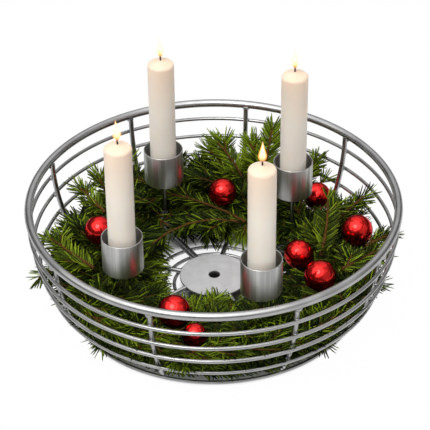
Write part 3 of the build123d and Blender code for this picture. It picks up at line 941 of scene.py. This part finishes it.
def fir_needle(settings):
    """Needle green: the UV's first value gives each needle's tone, with painted shade for the wreath's deep
    and shadowed parts, and the second pales root and tip.
    """
    material, tree, shader = new_material(
        "fir needle", settings.bright_colour, {"Roughness": 0.42, "Specular IOR Level": 0.12}
    )
    source = add_node(tree, "ShaderNodeUVMap", uv_map="UVMap")
    needle = split(tree, source.outputs["UV"])
    dark, bright = settings.dark_colour, settings.bright_colour
    green = ((0.0, dark), (0.6, between(dark, bright, NEEDLE_GREEN_SHARE)), (1.0, bright))
    pale = ((0.0, NEEDLE_ROOT_TINT), (0.25, WHITE), (1.0, NEEDLE_TIP_TINT))
    colour = multiply(tree, ramp(tree, needle["X"], green), ramp(tree, needle["Y"], pale))
    tree.links.new(colour, shader.inputs["Base Color"])
    return material


def fir_bark(settings):
    """Rough reddish-brown bark."""
    material, tree, shader = new_material(
        "fir bark", settings.bark_colour, {"Roughness": 0.8, "Specular IOR Level": 0.12}
    )
    cloud = noise(tree, coordinates(tree), BARK_CLOUDS, detail=5.0)
    paint(tree, cloud, tones(settings.bark_colour, (0.3, 0.5), (0.75, 1.6)), shader, "Base Color")
    bump(tree, cloud, BARK_DEPTH, shader, strength=0.6)
    return material


def dress_nodes(names, material):
    """Gives carried-over solids a material."""
    for name in names:
        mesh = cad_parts[name].data
        mesh.materials.clear()
        mesh.materials.append(material)


# Rings, cups, candles, flames and baubles


def ring_piece(node, material):
    """Wire ring: point (R + r cos v) about the axis and r sin v up, sized by its solid."""
    center = (ring_radius(node), middle_of(node)[2])
    profile = arc(center, half_height(node), 0, 360 - 360 / WIRE_FACETS, WIRE_FACETS)
    shape = lathe(profile, (0.0, 0.0, 0.0), RING_FACETS, True)
    return add_piece(f"wire_{node}", shape, [material], HOLDER, [node])


def weld_beads(settings, material):
    """Beads where ribs meet rings: ellipsoids (a cos u cos v, a sin u cos v, b sin v)."""
    bead = settings.weld_radius
    places = [(inner_radius(node), middle_of(node)[2], bead) for node in SIDE_RING_NODES]
    places.append((RIM_RADIUS, BOXES["top_ring"][0].z, RIM_BEAD_SHARE * bead))
    rise = np.linspace(-pi / 2, pi / 2, BEAD_ROWS)[1:-1]
    profile = np.stack([np.cos(rise), BEAD_HEIGHT_SHARE * np.sin(rise)], 1)
    shells = []
    for node in RIB_NODES:
        rib_x, rib_y, _ = middle_of(node)
        azimuth = atan2(rib_y, rib_x)
        for radius, height, size in places:
            center = (radius * cos(azimuth), radius * sin(azimuth), height)
            shells.append(lathe(size * profile, center, BEAD_FACETS, False))
    shape, _ = joined(shells)
    return add_piece("weld_beads", shape, [material], HOLDER)


def cup_piece(number, settings, material):
    """Open cup: outer wall, rolled rim, inner wall and floor, turned round the stem's hole."""
    node = f"cup_{number}"
    x, y, _ = middle_of(node)
    radius = half_width(node)
    height = 2 * half_height(node)
    wall = settings.cup_wall
    hole = CUP_HOLE_SHARE * wall
    floor = CUP_FLOOR_SHARE * wall
    profile = np.concatenate(
        [
            [(hole, 0.0)],
            arc((radius - wall, wall), wall, -90, 0, CORNER_ROWS),
            arc((radius - wall / 2, height - wall / 2), wall / 2, 0, 180, ROUND_ROWS),
            arc((radius - 2 * wall, floor + wall), wall, 0, -90, CORNER_ROWS),
            [(hole, floor)],
        ]
    )
    shape = lathe(profile, (x, y, BOXES[node][0].z), CUP_FACETS, True)
    return add_piece(f"steel_cup_{number}", shape, [material], HOLDER, [node])


def candle_profile(radius, bottom, top):
    """Half section: spike hole, flat foot, straight side, rounded edge and a low crown."""
    shoulder = top - CANDLE_CROWN - CANDLE_EDGE
    hole = [
        (CANDLE_AXIS_GAP, bottom + SPIKE_HOLE_DEPTH),
        (SPIKE_HOLE_RADIUS, bottom + SPIKE_HOLE_STRAIGHT),
        (SPIKE_HOLE_RADIUS, bottom),
    ]
    foot = [(radius - CANDLE_FOOT_EDGE, bottom)]
    side_heights = np.linspace(bottom + CANDLE_FOOT_EDGE, shoulder, SIDE_ROWS)
    side = np.stack([np.full(SIDE_ROWS, radius), side_heights], 1)
    edge = arc((radius - CANDLE_EDGE, shoulder), CANDLE_EDGE, 0, CANDLE_EDGE_ANGLE, ROUND_ROWS)
    out = 1 - np.linspace(0, 1, CROWN_ROWS)[1:-1]
    crown = np.stack([(radius - CANDLE_EDGE) * out, top - CANDLE_CROWN * out**CROWN_POWER], 1)
    return np.concatenate([hole, foot, side, edge[1:], crown, [(CANDLE_AXIS_GAP, top)]])


def candle_piece(number, material):
    """Candle turned from its half section, sized by its solid."""
    node = f"candle_{number}"
    x, y, _ = middle_of(node)
    low, high = BOXES[node]
    shape = lathe(candle_profile(half_width(node), low.z, high.z), (x, y, 0.0), CANDLE_FACETS, False)
    return add_piece(f"wax_candle_{number}", shape, [material], f"{node}_body", [node])


def wick_piece(number, material):
    """Cord up the candle's axis that bends over: its offset grows with the square of the free height."""
    node = f"wick_{number}"
    low, high = BOXES[node]
    wax_top = BOXES[f"candle_{number}"][1].z
    height = np.concatenate([[low.z], np.linspace(wax_top - WICK_SINK, high.z, WICK_ROWS)])
    free = np.clip((height - wax_top) / (high.z - wax_top), 0, 1)
    lean = radians(LEAN_TURN * number)
    reach = WICK_REACH * free**2
    middle = np.stack([reach * cos(lean), reach * sin(lean), height], 1)
    middle[:, :2] += middle_of(node)[:2]
    thick = half_width(node) * np.where(free > WICK_END_SHARE, WICK_END_THICK_SHARE, 1.0)
    spread = polar(np.arange(WICK_FACETS) * 360 / WICK_FACETS, 1.0, 0.0)
    points = middle[:, None] + thick[:, None, None] * spread[None]
    quads, uv = grid_faces(len(height), WICK_FACETS, False, True)
    first = np.arange(WICK_FACETS)
    last = first[::-1] + (len(height) - 1) * WICK_FACETS
    faces = [quads[:, ::-1], np.stack([first, last])[:, ::-1]]
    shape = (points.reshape(-1, 3), faces, np.concatenate([uv, np.zeros((2 * WICK_FACETS, 2))]))
    return add_piece(f"cotton_wick_{number}", shape, [material], f"candle_{number}_body", [node])


def flame_shell(center, foot, height, radius, sway):
    """Teardrop: a half circle's rise to the belly, then a fall to the tip, swaying with height squared."""
    share = np.linspace(0, 1, FLAME_ROWS)
    lower = np.sqrt(np.clip(1 - (1 - share / FLAME_BELLY_SHARE) ** 2, 0, 1))
    upper = np.clip((1 - share) / (1 - FLAME_BELLY_SHARE), 0, 1) ** FLAME_TIP_POWER
    width = radius * np.clip(np.where(share < FLAME_BELLY_SHARE, lower, upper), FLAME_TIP_SHARE, 1)
    points, faces, uv = lathe(np.stack([width, foot + height * share], 1), center, FLAME_FACETS, False)
    grown = np.clip((points[:, 2] - foot) / height, 0, 1) ** 2
    points[:, :2] += np.outer(grown, sway)
    return points, faces, uv


def flame_piece(number, settings, materials):
    """Flame of shells one inside another, from an orange veil to a white core, standing on its wick."""
    x, y, _ = middle_of(f"wick_{number}")
    foot = BOXES[f"candle_{number}"][1].z + settings.flame_gap
    lean = radians(LEAN_TURN * number)
    sway = (FLAME_SWAY * cos(lean), FLAME_SWAY * sin(lean))
    shells = []
    for share in FLAME_LAYER_SHARES:
        height = settings.flame_height * (FLAME_CORE_SHARE + (1 - FLAME_CORE_SHARE) * share)
        lift = FLAME_LIFT * (1 - share)
        shells.append(flame_shell((x, y, 0.0), foot + lift, height, settings.flame_radius * share, sway))
    shape, layers = joined(shells)
    return add_piece(f"flame_{number}", shape, materials, f"candle_{number}_body", (), layers)


def bauble_piece(number, settings, material):
    """Glass ball with a short open neck below: circle from the neck over the top."""
    node = f"bauble_{number}"
    center, radius = ball_of(number)
    start = -np.degrees(np.arccos(BAUBLE_NECK / radius))
    ball = arc((0.0, 0.0), radius, start, BAUBLE_TOP_ANGLE, settings.steps // 2)
    profile = np.concatenate([[(BAUBLE_NECK, BOXES[node][0].z - center[2])], ball])
    shape = lathe(profile, center, settings.steps, False)
    return add_piece(f"glass_bauble_{number}", shape, [material], f"{node}_body", [node])


# Boughs and shoots of the fir


def curves_between(roots, tips, bows):
    """Root, middle and tip of boughs from rows of azimuth, radius share and height share.

    The middle lies halfway in all three and is lifted by twice the bow times the length, so that the
    curve itself rises by the bow.
    """
    first, middle, last = (
        polar(azimuth, radius * RIM_RADIUS, height * RIM_HEIGHT)
        for azimuth, radius, height in (roots.T, (roots + tips).T / 2, tips.T)
    )
    middle[:, 2] += 2 * bows * np.linalg.norm(last - first, axis=1)
    return np.stack([first, middle, last], 1)


def sprig_sector(number):
    """First and last azimuth of a sprig's solid, in degrees, about its middle."""
    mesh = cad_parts[f"fir_sprig_{number}"].data
    points = np.zeros(len(mesh.vertices) * 3, np.float32)
    mesh.vertices.foreach_get("co", points)
    points = points.reshape(-1, 3)
    middle = np.degrees(np.arctan2(points[:, 1].mean(), points[:, 0].mean()))
    azimuth = np.degrees(np.arctan2(points[:, 1], points[:, 0]))
    turn = (azimuth - middle + 180) % 360 - 180
    return middle + turn.min(), middle + turn.max()


def wall_radius(height):
    """Inside radius of the basket's wall at a height: the rings' radii between their heights."""
    rings = sorted(RING_NODES, key=lambda node: BOXES[node][0].z)
    heights = [middle_of(node)[2] for node in rings]
    return np.interp(height, heights, [inner_radius(node) for node in rings])


def shown_boughs(number):
    """Boughs of a sprig that the photograph shows."""
    rows = [row for row in BOUGH_SHARES if row[0] == number]
    roots, tips, bows = (np.array([row[place] for row in rows]) for place in (1, 2, 3))
    return curves_between(roots, tips, bows)


def bed_boughs(number, generator):
    """Boughs of a sprig's bed, across its sector, with a little spread at their tips."""
    low, high = sprig_sector(number)
    layers = np.repeat(np.arange(BED_LAYERS), len(BED_SHARES))
    columns = np.tile(BED_SHARES, (BED_LAYERS, 1)).T
    across, root_radius, root_height, tip_radius, tip_height, turn = columns
    azimuth = low + (high - low) * (across + BED_SHIFT_SHARE * layers)
    rise = BED_RISE_SHARE * layers
    roots = np.stack([azimuth, root_radius, root_height + rise], 1)
    tips = np.stack([azimuth + (high - low) * turn, tip_radius, tip_height + rise], 1)
    tips += generator.normal(0, 1, tips.shape) * BED_SPREAD
    return curves_between(roots, tips, np.full(len(tips), BED_BOW_SHARE))


def wall_boughs(number, settings):
    """Boughs of a sprig along the inside of the wall, in staggered layers, part of a needle away from it."""
    first = np.arange(*WALL_SPAN, WALL_STEP)
    layer, azimuth = np.meshgrid(np.arange(len(WALL_HEIGHT_SHARES)), first, indexing="ij")
    azimuth = (azimuth + layer * WALL_STEP / len(WALL_HEIGHT_SHARES)).ravel()
    height = np.array(WALL_HEIGHT_SHARES)[layer.ravel()]
    middles = np.array([np.mean(sprig_sector(sprig)) for sprig in SPRIGS])
    turn = (azimuth[:, None] + WALL_STEP / 2 - middles + 180) % 360 - 180
    own = np.argmin(np.abs(turn), 1) == number - 1
    radius = (wall_radius(height * RIM_HEIGHT) - WALL_GAP_SHARE * settings.needle_length) / RIM_RADIUS
    roots = np.stack([azimuth, radius, height], 1)[own]
    tips = np.stack([azimuth + WALL_STEP * WALL_LENGTH_SHARE, radius, height + WALL_RISE_SHARE], 1)[own]
    return curves_between(roots, tips, np.zeros(len(roots)))


def side_shoots(boughs, count, size, generator):
    """Shoots that leave each bough to both sides in turn, shorter towards its tip."""
    share = np.linspace(*SHOOT_PLACE_SHARES, count)
    root, along = points_along(boughs, share)
    side, above = cross_frame(along)
    sign = np.where(np.arange(count) % 2, 1.0, -1.0)[None, :, None]
    spread = np.radians(generator.normal(*SHOOT_TURN, root.shape[:2]))[..., None]
    lift = generator.normal(*SHOOT_LIFT_SHARES, root.shape[:2])[..., None]
    heading = unit(along * np.cos(spread) + side * sign * np.sin(spread) + above * lift)
    bough_length = np.linalg.norm(boughs[:, 2] - boughs[:, 0], axis=1)[:, None, None]
    taper = (size * (1 - SHOOT_TAPER_SHARE * share))[None, :, None]
    length = bough_length * taper * generator.uniform(*SHOOT_LENGTH_SHARES, root.shape[:2])[..., None]
    middle = root + heading * length / 2
    tip = root + unit(heading + SHOOT_FORWARD_SHARE * along + SHOOT_UPWARD_SHARE * above) * length
    return np.stack([root, middle, tip], 2).reshape(-1, 3, 3)


# Room that the fir leaves


def is_clear(points, room, poke):
    """Whether each point keeps off the cups, candles, baubles, their way up, the wires and the table."""
    x, y, z = points[..., 0], points[..., 1], points[..., 2]
    radius = np.hypot(x, y)
    clear = (z > TABLE_GAP) & (radius < wall_radius(z) + poke)
    for number in CANDLES:
        node = f"cup_{number}"
        cup_x, cup_y, _ = middle_of(node)
        gap = np.hypot(x - cup_x, y - cup_y)
        clear &= (gap > half_width(node) + room) | (z < BOXES[node][0].z - room)
        clear &= gap > half_width(node) * STEM_ROOM_SHARE + room
    for number in BAUBLES:
        (ball_x, ball_y, ball_z), ball = ball_of(number)
        gap = np.hypot(x - ball_x, y - ball_y)
        under = np.minimum(z - ball_z, 0)
        clear &= np.hypot(gap, under) > ball + room
    for node in RING_NODES + BASE_RING_NODES:
        gap = np.hypot(radius - ring_radius(node), z - middle_of(node)[2])
        clear &= gap > half_height(node) + room / 2
    plate_low, plate_high = BOXES["centre_plate"]
    clear &= (radius > plate_high.x + room) | (z > plate_high.z + room) | (z < plate_low.z - room)
    return clear


def hides_stem(points, camera):
    """Whether each point stands before the open part of a stem.

    The line of sight through the point is carried on to the depth of the stem.
    """
    x, y, z = points[..., 0], points[..., 1], points[..., 2]
    hidden = np.zeros(x.shape, bool)
    for number, share in zip(CANDLES, STEM_OPEN_SHARES):
        stem_x, stem_y, _ = middle_of(f"cup_{number}")
        stem_top = BOXES[f"cup_{number}"][0].z
        stem_foot = BOXES[f"stem_{number}"][0].z
        reach = (stem_y - camera.y) / (y - camera.y)
        height = camera.z + (z - camera.z) * reach
        across = np.abs(camera.x + (x - camera.x) * reach - stem_x)
        open_from = stem_top - share * (stem_top - stem_foot)
        hidden |= (across < OPEN_HALF) & (reach > 1) & (height > open_from) & (height < stem_top)
    return hidden


def hides_rib(points, camera):
    """Whether each point stands before the rib that carries the second stem.

    The line of sight through the point is carried on down to the height of the rib.
    """
    foot_x, foot_y, _ = middle_of("cup_2")
    reach = (BOXES["stem_2"][0].z - camera.z) / (points[..., 2] - camera.z)
    x = camera.x + (points[..., 0] - camera.x) * reach
    y = camera.y + (points[..., 1] - camera.y) * reach
    length = np.hypot(foot_x, foot_y)
    along = (x * foot_x + y * foot_y) / length
    across = np.abs(x * foot_y - y * foot_x) / length
    return (across < OPEN_HALF) & (along > 0) & (along < length)


def hides_bauble(points, camera):
    """Whether each point stands before a bauble: nearer the camera, and close to the sight of its middle."""
    hidden = np.zeros(points.shape[:-1], bool)
    for number, share in zip(BAUBLES, BAUBLE_OPEN_SHARES):
        middle, ball = ball_of(number)
        sight = unit(np.array(camera) - middle)
        ahead = (points - middle) @ sight
        aside = np.linalg.norm(points - middle - ahead[..., None] * sight, axis=-1)
        hidden |= (ahead > 0) & (aside < share * ball)
    return hidden


def clear_shoots(shoots, settings, camera, keep_stems):
    """Whether each shoot keeps off the other pieces and the sight of baubles, and of stems if asked."""
    path = points_along(shoots, np.linspace(0, 1, TEST_POINTS))[0]
    clear = is_clear(path, settings.twig_radius, 0.0).all(1)
    clear &= ~hides_bauble(path, camera).any(1)
    if keep_stems:
        clear &= ~(hides_stem(path, camera) | hides_rib(path, camera)).any(1)
    return clear


# Fir sprigs


def sprig_shoots(number, settings, camera, generator):
    """Every shoot of a sprig: curves, twig radii, tone with painted shade, and how far its needles may pass
    the wall.
    """
    boughs = {
        "shown": shown_boughs(number),
        "bed": bed_boughs(number, generator),
        "wall": wall_boughs(number, settings),
    }
    grown = [
        side_shoots(boughs[kind], count, size, generator) if count else boughs[kind]
        for kind, count, size, *_ in SHOOT_KINDS
    ]
    own = BOUGH_TONE_AND_SHADE_SHARES[number - 1]
    kept = []
    for shoots, (kind, count, _, thick, darkest_tone, brightest_tone, poke) in zip(grown, SHOOT_KINDS):
        low, high = (fixed + share * own for fixed, share in (darkest_tone, brightest_tone))
        # Each shoot's tone, with painted shade where it lies deep or in shadow
        tone_and_shade = generator.uniform(low, high, len(shoots))
        if count or kind != "shown":
            clear = clear_shoots(shoots, settings, camera, kind == "shown")
            shoots, tone_and_shade = shoots[clear], tone_and_shade[clear]
        radii = np.full(len(shoots), settings.twig_radius * thick)
        kept.append((shoots, radii, tone_and_shade, np.full(len(shoots), settings.needle_length * poke)))
    return [np.concatenate(column) for column in zip(*kept)]


def twig_tubes(shoots, radii):
    """Tapering tubes along shoots, ending in blunt buds: circles of the taper's radius across each curve."""
    middle, along = points_along(shoots, TWIG_PLACE_SHARES)
    side, above = cross_frame(along)
    angle = turns(TWIG_FACETS)[None, None, :, None]
    spread = side[:, :, None] * np.cos(angle) + above[:, :, None] * np.sin(angle)
    points = middle[:, :, None] + spread * (radii[:, None] * TWIG_TAPER_SHARES)[:, :, None, None]
    rows = len(TWIG_PLACE_SHARES)
    quads, _ = grid_faces(rows, TWIG_FACETS, False, True)
    first = np.arange(TWIG_FACETS)
    ends = np.stack([first[::-1], first + (rows - 1) * TWIG_FACETS])
    start = np.arange(len(shoots))[:, None, None] * rows * TWIG_FACETS
    faces = [(part[None] + start).reshape(-1, part.shape[1]) for part in (quads, ends)]
    return points.reshape(-1, 3), faces, np.zeros((sum(part.size for part in faces), 2))


def needle_points(shoots, settings, generator):
    """Needles in combs to both sides of every shoot, closing forward to a fan at its tip.

    Needle i leaves on side (-1)^i, turned up by the golden ratio's steps from just under the side
    to near the top, and is a flat three-sided section carried along a slightly bent line to a point.
    Returns each needle's points and its shoot.
    """
    leg = np.linalg.norm(np.diff(shoots, axis=1), axis=2)
    counts = np.maximum((leg.sum(1) / settings.needle_pitch).astype(int), NEEDLE_FEWEST)
    owner = np.repeat(np.arange(len(shoots)), counts)
    place = np.arange(len(owner)) - np.repeat(np.cumsum(counts) - counts, counts)
    share = (place + 0.5) / counts[owner]
    root, along = curve_points(shoots[owner], share)
    side, above = cross_frame(along)
    rise = NEEDLE_LOWEST + NEEDLE_RANGE * ((place // 2 * GOLDEN_SHARE) % 1)
    rise = np.radians(rise + generator.normal(0, NEEDLE_RISE_SPREAD, len(owner)))
    sign = np.where(place % 2, 1.0, -1.0)
    spread = side * (sign * np.cos(rise))[:, None] + above * np.sin(rise)[:, None]
    lean = settings.needle_lean * (1 - NEEDLE_CLOSE_SHARE * share**NEEDLE_CLOSE_POWER)
    lean = (lean * generator.normal(1, NEEDLE_LEAN_SPREAD, len(owner)))[:, None]
    heading = unit(along * np.cos(lean) + spread * np.sin(lean))
    full = NEEDLE_ROOT_SHARE + (1 - NEEDLE_ROOT_SHARE) * np.clip(share / NEEDLE_FULL_SHARE, 0, 1)
    full = full * (1 - NEEDLE_TOP_SHARE * np.clip(np.sin(rise), 0, 1))
    length = settings.needle_length * full * generator.uniform(*NEEDLE_LENGTH_SHARES, len(owner))
    flat = unit(along - heading * np.sum(along * heading, 1, keepdims=True))
    thick = np.cross(heading, flat)
    bend = NEEDLE_BEND_SHARE * length[:, None] * unit(along + NEEDLE_BEND_UP_SHARE * above)
    widths = NEEDLE_WIDTH_SHARES * settings.needle_width / 2
    line = root[:, None] + heading[:, None] * (length[:, None] * NEEDLE_ROW_SHARES)[..., None]
    line = line + bend[:, None] * (NEEDLE_ROW_SHARES**2)[None, :, None]
    wide = flat[:, None] * widths[None, :, None]
    deep = thick[:, None] * (NEEDLE_THICK_SHARE * widths)[None, :, None]
    rows = np.stack([line + wide, line + deep, line - wide], 2).reshape(len(owner), -1, 3)
    tip = root + heading * length[:, None] + bend
    return np.concatenate([rows, tip[:, None]], 1), owner


def needle_mesh(needles, shades):
    """Points, faces and UVs of needles: sides, tip and foot, with the shade and the height as UV."""
    sides = grid_faces(len(NEEDLE_ROW_SHARES), 3, False, True)[0][:, ::-1]
    parts = (sides, NEEDLE_TIP_FACES, NEEDLE_FOOT_FACE)
    start = np.arange(len(needles))[:, None, None] * len(NEEDLE_HEIGHT_SHARES)
    faces = [(part[None] + start).reshape(-1, part.shape[1]) for part in parts]
    uv = []
    for part in parts:
        height = np.broadcast_to(NEEDLE_HEIGHT_SHARES[part], (len(needles), *part.shape))
        own = np.broadcast_to(shades[:, None, None], height.shape)
        uv.append(np.stack([own, height], -1).reshape(-1, 2))
    return needles.reshape(-1, 3), faces, np.concatenate(uv)


def sprig_piece(number, settings, camera, materials):
    """One fir sprig: boughs, side shoots and needles that keep clear of what stands in the wreath."""
    generator = np.random.default_rng(settings.seed + number)
    shoots, radii, tone_and_shade, poke = sprig_shoots(number, settings, camera, generator)
    needles, owner = needle_points(shoots, settings, generator)
    shades = tone_and_shade[owner] - SHADE_DROP + SHADE_RANGE * generator.uniform(0, 1, len(owner)) ** SHADE_POWER
    ridge = needles[:, NEEDLE_RIDGE]
    kept = is_clear(ridge, settings.clearance, poke[owner][:, None]).all(1)
    for hides in (hides_bauble, hides_stem, hides_rib):
        kept &= ~hides(ridge, camera).any(1)
    shape, shells = joined([twig_tubes(shoots, radii), needle_mesh(needles[kept], shades[kept])])
    return add_piece(f"fir_{number}", shape, materials, HOLDER, [f"fir_sprig_{number}"], shells)


# Floor, light and camera


def seen_rays(tree):
    """One for rays of the camera, of reflections and through glass, else zero."""
    path = add_node(tree, "ShaderNodeLightPath")
    total = path.outputs["Is Camera Ray"]
    for name in ("Is Glossy Ray", "Is Transmission Ray"):
        node = add_node(tree, "ShaderNodeMath", operation="MAXIMUM")
        tree.links.new(total, node.inputs[0])
        tree.links.new(path.outputs[name], node.inputs[1])
        total = node.outputs[0]
    return total


def white_floor():
    """Floor that shows white to the camera and in reflections, with shadow under the fir, and under the plate
    shadow on a painted shade of dark grey.
    """
    material = bpy.data.materials.new("white floor")
    material.use_nodes = True
    tree = material.node_tree
    tree.nodes.clear()
    matt = add_node(tree, "ShaderNodeBsdfDiffuse")
    light = add_node(tree, "ShaderNodeEmission", {"Color": (*WHITE, 1.0), "Strength": 1.0})
    distance = from_axis(tree, 1 / RIM_RADIUS)
    # Painted shade: the floor's own colour is dark grey under the plate
    paint(tree, distance, tones(WHITE, *FLOOR_GREY_AND_PAINTED_SHADE_SHARES), matt, "Color")
    clean = ramp(tree, distance, tones(WHITE, *FLOOR_WHITE_SHARES))
    shown = mix_shaders(tree, clean, matt.outputs[0], light.outputs[0])
    output = add_node(tree, "ShaderNodeOutputMaterial")
    tree.links.new(mix_shaders(tree, seen_rays(tree), matt.outputs[0], shown), output.inputs["Surface"])
    return material


def add_floor(scene, size):
    """Square floor just under the table's height."""
    half = size / 2
    corners = [(half * x, half * y, -FLOOR_DEPTH) for x, y in ((-1, -1), (1, -1), (1, 1), (-1, 1))]
    mesh = bpy.data.meshes.new("floor")
    mesh.from_pydata(corners, [], [(0, 1, 2, 3)])
    mesh.materials.append(white_floor())
    floor = bpy.data.objects.new("floor", mesh)
    scene.collection.objects.link(floor)


def studio_world(scene):
    """World of soft studio light: grey round the horizon, white overhead."""
    world = bpy.data.worlds.new("studio")
    scene.world = world
    world.use_nodes = True
    tree = world.node_tree
    source = add_node(tree, "ShaderNodeTexCoord")
    height = split(tree, source.outputs["Generated"])["Z"]
    paint(tree, height, tones(WHITE, *SKY_SHARES), tree.nodes["Background"], "Color")


def add_lamp(scene, name, place, size, watts):
    """Round soft lamp aimed at the basket."""
    data = bpy.data.lights.new(name, "AREA")
    data.shape = "DISK"
    data.size = size
    data.energy = watts
    lamp = bpy.data.objects.new(name, data)
    lamp.location = place
    lamp.rotation_euler = (Vector(LAMP_AIM) - Vector(place)).to_track_quat("-Z", "Y").to_euler()
    scene.collection.objects.link(lamp)


def camera_back(settings):
    """Direction from the target back to the camera."""
    return Vector((0.0, -cos(settings.look_down), sin(settings.look_down)))


def camera_place(settings):
    """Where the camera stands: back from its target, along its line of sight."""
    return Vector(settings.target) + camera_back(settings) * settings.distance


def set_camera(scene, settings):
    """Camera at the photograph's viewing angle, rolled a little."""
    back = camera_back(settings)
    right = Vector((1.0, 0.0, 0.0))
    up = back.cross(right)
    turned_right = cos(settings.roll) * right + sin(settings.roll) * up
    turned_up = cos(settings.roll) * up - sin(settings.roll) * right
    data = bpy.data.cameras.new("photo camera")
    data.lens = settings.lens
    data.sensor_width = SENSOR_WIDTH
    camera = bpy.data.objects.new("photo camera", data)
    turn = Matrix((turned_right, turned_up, back)).transposed().to_4x4()
    camera.matrix_world = Matrix.Translation(camera_place(settings)) @ turn
    scene.collection.objects.link(camera)
    scene.camera = camera


# Operators


class ADVENT_OT_stage(Operator):
    """Set the floor, the light and the camera"""

    bl_idname = "advent.stage"
    bl_label = "Stage"

    def execute(self, context):
        scene = context.scene
        settings = scene.advent_stage
        add_floor(scene, settings.floor_size)
        studio_world(scene)
        for name, place, size, watts in LAMPS:
            add_lamp(scene, name, place, size, watts)
        set_camera(scene, settings)
        scene.view_settings.view_transform = "Standard"
        return {"FINISHED"}


class ADVENT_OT_wires(Operator):
    """Make the rings and finish the ribs, stems and plate"""

    bl_idname = "advent.wires"
    bl_label = "Wires and plate"

    def execute(self, context):
        settings = context.scene.advent_wire
        drawn = steel_wire(settings, "zinc ring wire", "UV", RING_STREAKS)
        for node in RING_NODES + BASE_RING_NODES:
            ring_piece(node, drawn)
        bent = steel_wire(settings, "zinc rib wire", "Object", RIB_STREAKS)
        dress_nodes(RIB_NODES + STEM_NODES, bent)
        weld_beads(settings, bent)
        dress_nodes(["centre_plate"], plate_sheet(settings))
        return {"FINISHED"}


class ADVENT_OT_cups(Operator):
    """Make the steel candle cups"""

    bl_idname = "advent.cups"
    bl_label = "Candle cups"

    def execute(self, context):
        settings = context.scene.advent_wire
        material = cup_sheet(settings)
        for number in CANDLES:
            cup_piece(number, settings, material)
        return {"FINISHED"}


class ADVENT_OT_candles(Operator):
    """Make the candles with their wicks and flames"""

    bl_idname = "advent.candles"
    bl_label = "Candles"

    def execute(self, context):
        settings = context.scene.advent_candle
        wax_top = BOXES["candle_1"][1].z
        wax = candle_wax(settings, wax_top)
        cotton = wick_char(BOXES["wick_1"][1].z)
        low = wax_top + settings.flame_gap
        high = low + settings.flame_height
        gases = [flame_gas(layer, low, high) for layer in range(len(FLAME_LAYER_SHARES))]
        for number in CANDLES:
            candle_piece(number, wax)
            wick_piece(number, cotton)
            flame_piece(number, settings, gases)
        return {"FINISHED"}


class ADVENT_OT_baubles(Operator):
    """Make the red glass baubles and finish their caps"""

    bl_idname = "advent.baubles"
    bl_label = "Baubles"

    def execute(self, context):
        settings = context.scene.advent_bauble
        material = red_glass(settings)
        for number in BAUBLES:
            bauble_piece(number, settings, material)
        dress_nodes([f"bauble_cap_{number}" for number in BAUBLES], cap_metal(settings))
        return {"FINISHED"}


class ADVENT_OT_fir(Operator):
    """Lay the fir sprigs in the basket"""

    bl_idname = "advent.fir"
    bl_label = "Fir wreath"

    def execute(self, context):
        settings = context.scene.advent_fir
        materials = [fir_bark(settings), fir_needle(settings)]
        camera = camera_place(context.scene.advent_stage)
        for number in SPRIGS:
            sprig_piece(number, settings, camera, materials)
        return {"FINISHED"}


class ADVENT_PT_panel(Panel):
    """Lists the steps in the sidebar"""

    bl_idname = "ADVENT_PT_panel"
    bl_label = "Advent Candle Holder"
    bl_space_type = "VIEW_3D"
    bl_region_type = "UI"
    bl_category = "Advent"

    def draw(self, context):
        for step in STEPS:
            self.layout.operator(step.bl_idname)


GROUPS = {
    "advent_wire": AdventWire,
    "advent_candle": AdventCandle,
    "advent_bauble": AdventBauble,
    "advent_fir": AdventFir,
    "advent_stage": AdventStage,
}
STEPS = (
    ADVENT_OT_stage,
    ADVENT_OT_wires,
    ADVENT_OT_cups,
    ADVENT_OT_candles,
    ADVENT_OT_baubles,
    ADVENT_OT_fir,
)


def register():
    """Registers the settings, the steps and the panel."""
    for name, group in GROUPS.items():
        bpy.utils.register_class(group)
        setattr(bpy.types.Scene, name, PointerProperty(type=group))
    for step in STEPS:
        bpy.utils.register_class(step)
    bpy.utils.register_class(ADVENT_PT_panel)


def unregister():
    """Takes the panel, the steps and the settings off again."""
    bpy.utils.unregister_class(ADVENT_PT_panel)
    for step in reversed(STEPS):
        bpy.utils.unregister_class(step)
    for name, group in reversed(GROUPS.items()):
        delattr(bpy.types.Scene, name)
        bpy.utils.unregister_class(group)


def main():
    """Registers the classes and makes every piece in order."""
    register()
    bpy.ops.advent.stage()
    bpy.ops.advent.wires()
    bpy.ops.advent.cups()
    bpy.ops.advent.candles()
    bpy.ops.advent.baubles()
    bpy.ops.advent.fir()


if __name__ == "__main__":
    main()
